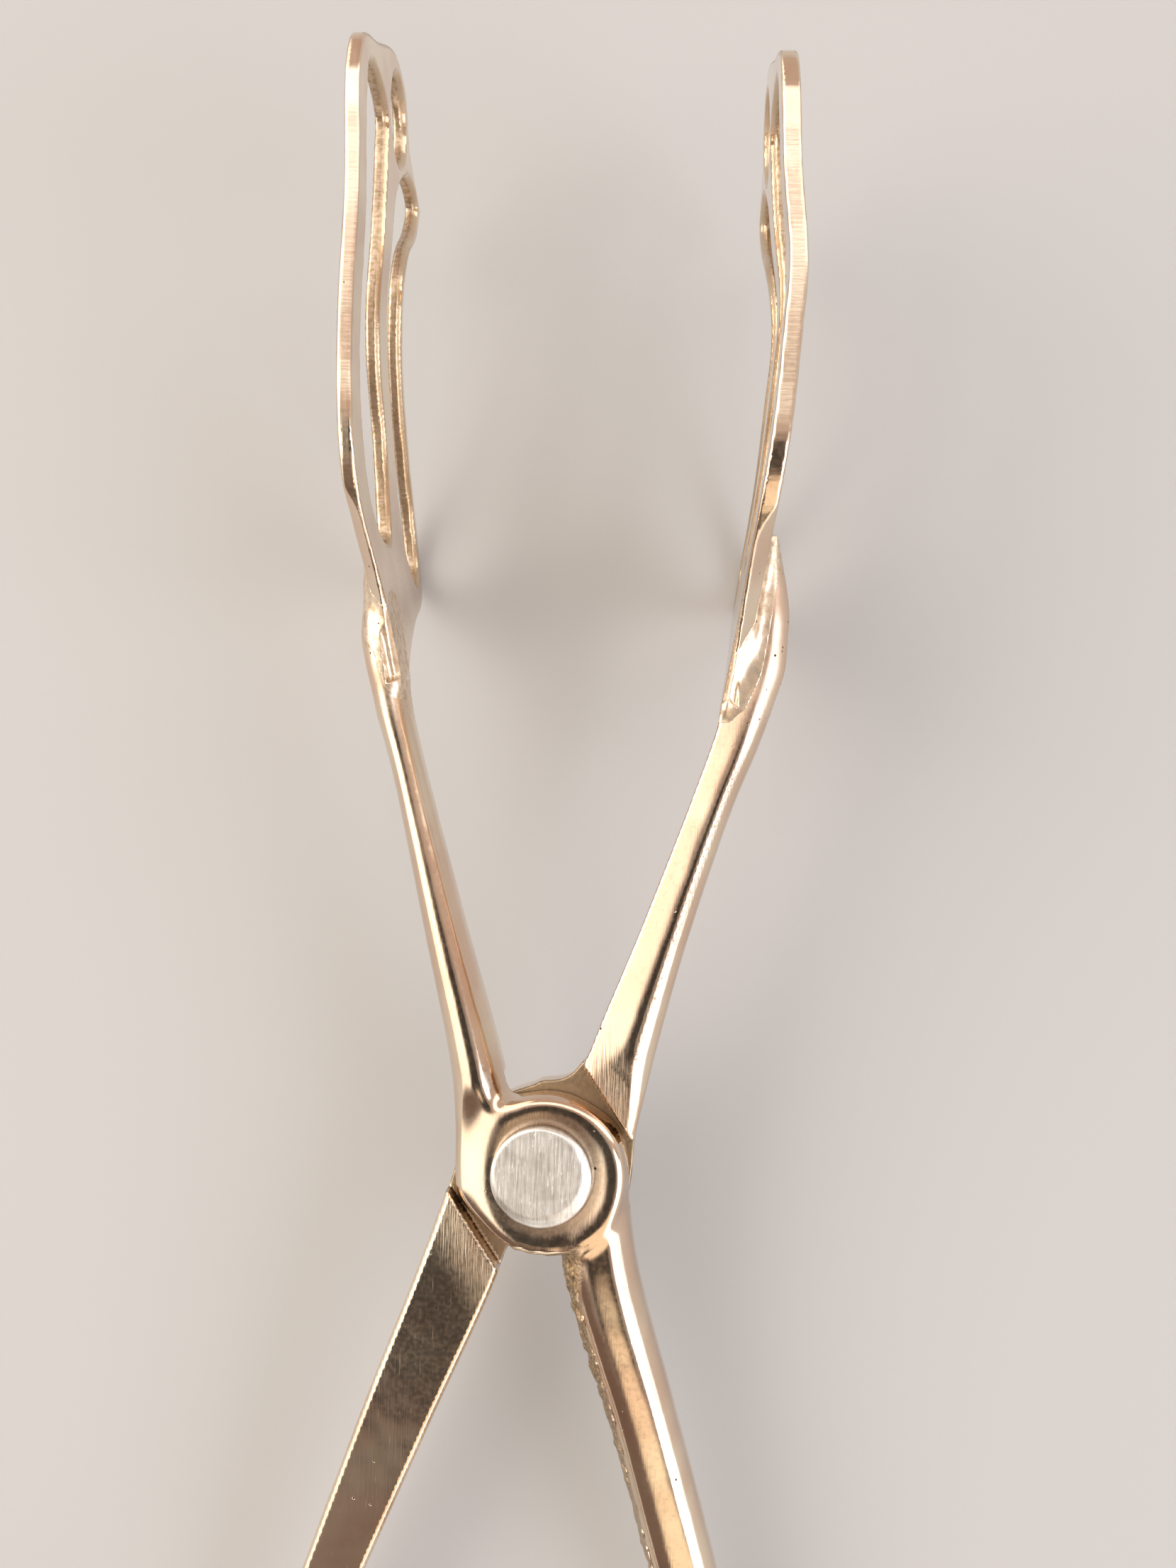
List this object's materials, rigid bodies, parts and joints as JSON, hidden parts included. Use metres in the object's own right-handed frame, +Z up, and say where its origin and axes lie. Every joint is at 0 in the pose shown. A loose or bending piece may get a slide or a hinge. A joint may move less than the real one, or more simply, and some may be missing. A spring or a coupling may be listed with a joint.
{
  "type": "scissor-action tongs with pierced jaws",
  "caption": "Cast bronze scissor tongs: two half-lapped levers on an aluminium rivet, pierced plate jaws set on edge, finger-ring handles.",
  "frame": {"origin": "on the surface that the tongs lie on, under the middle of their bounding box", "axes": "+Y from the finger rings towards the jaws, +Z up, +X to the right with the jaws away from the viewer; the tool's own plane is tipped 7.7 degrees about X, because it lies on the jaws' lower edges and on the finger rings"},
  "size_m": [0.1134, 0.212, 0.0431],
  "materials": {
    "lever_bronze": "cast bronze, filed flats and polished round sides, rough casting flash left along one edge",
    "blade_bronze": "polished bronze plate with filed, pierced openings",
    "braze": "rough, pitted braze",
    "rivet_aluminium": "soft rivet filed flat, fine parallel file marks"
  },
  "bodies": {
    "lower_half": {"lower_lever": "lever_bronze", "right_blade": "blade_bronze", "right_blade_braze": "braze", "pivot_rivet": "rivet_aluminium"},
    "upper_half": {"upper_lever": "lever_bronze", "left_blade": "blade_bronze", "left_blade_braze": "braze"}
  },
  "joints": [
    {"name": "pivot", "type": "hinge", "parent": "lower_half", "child": "upper_half", "pos_m": [0.00373, -0.0105, 0.0151], "axis": [0, -0.1346, 0.9909], "range_deg": [-19, 30]}
  ]
}
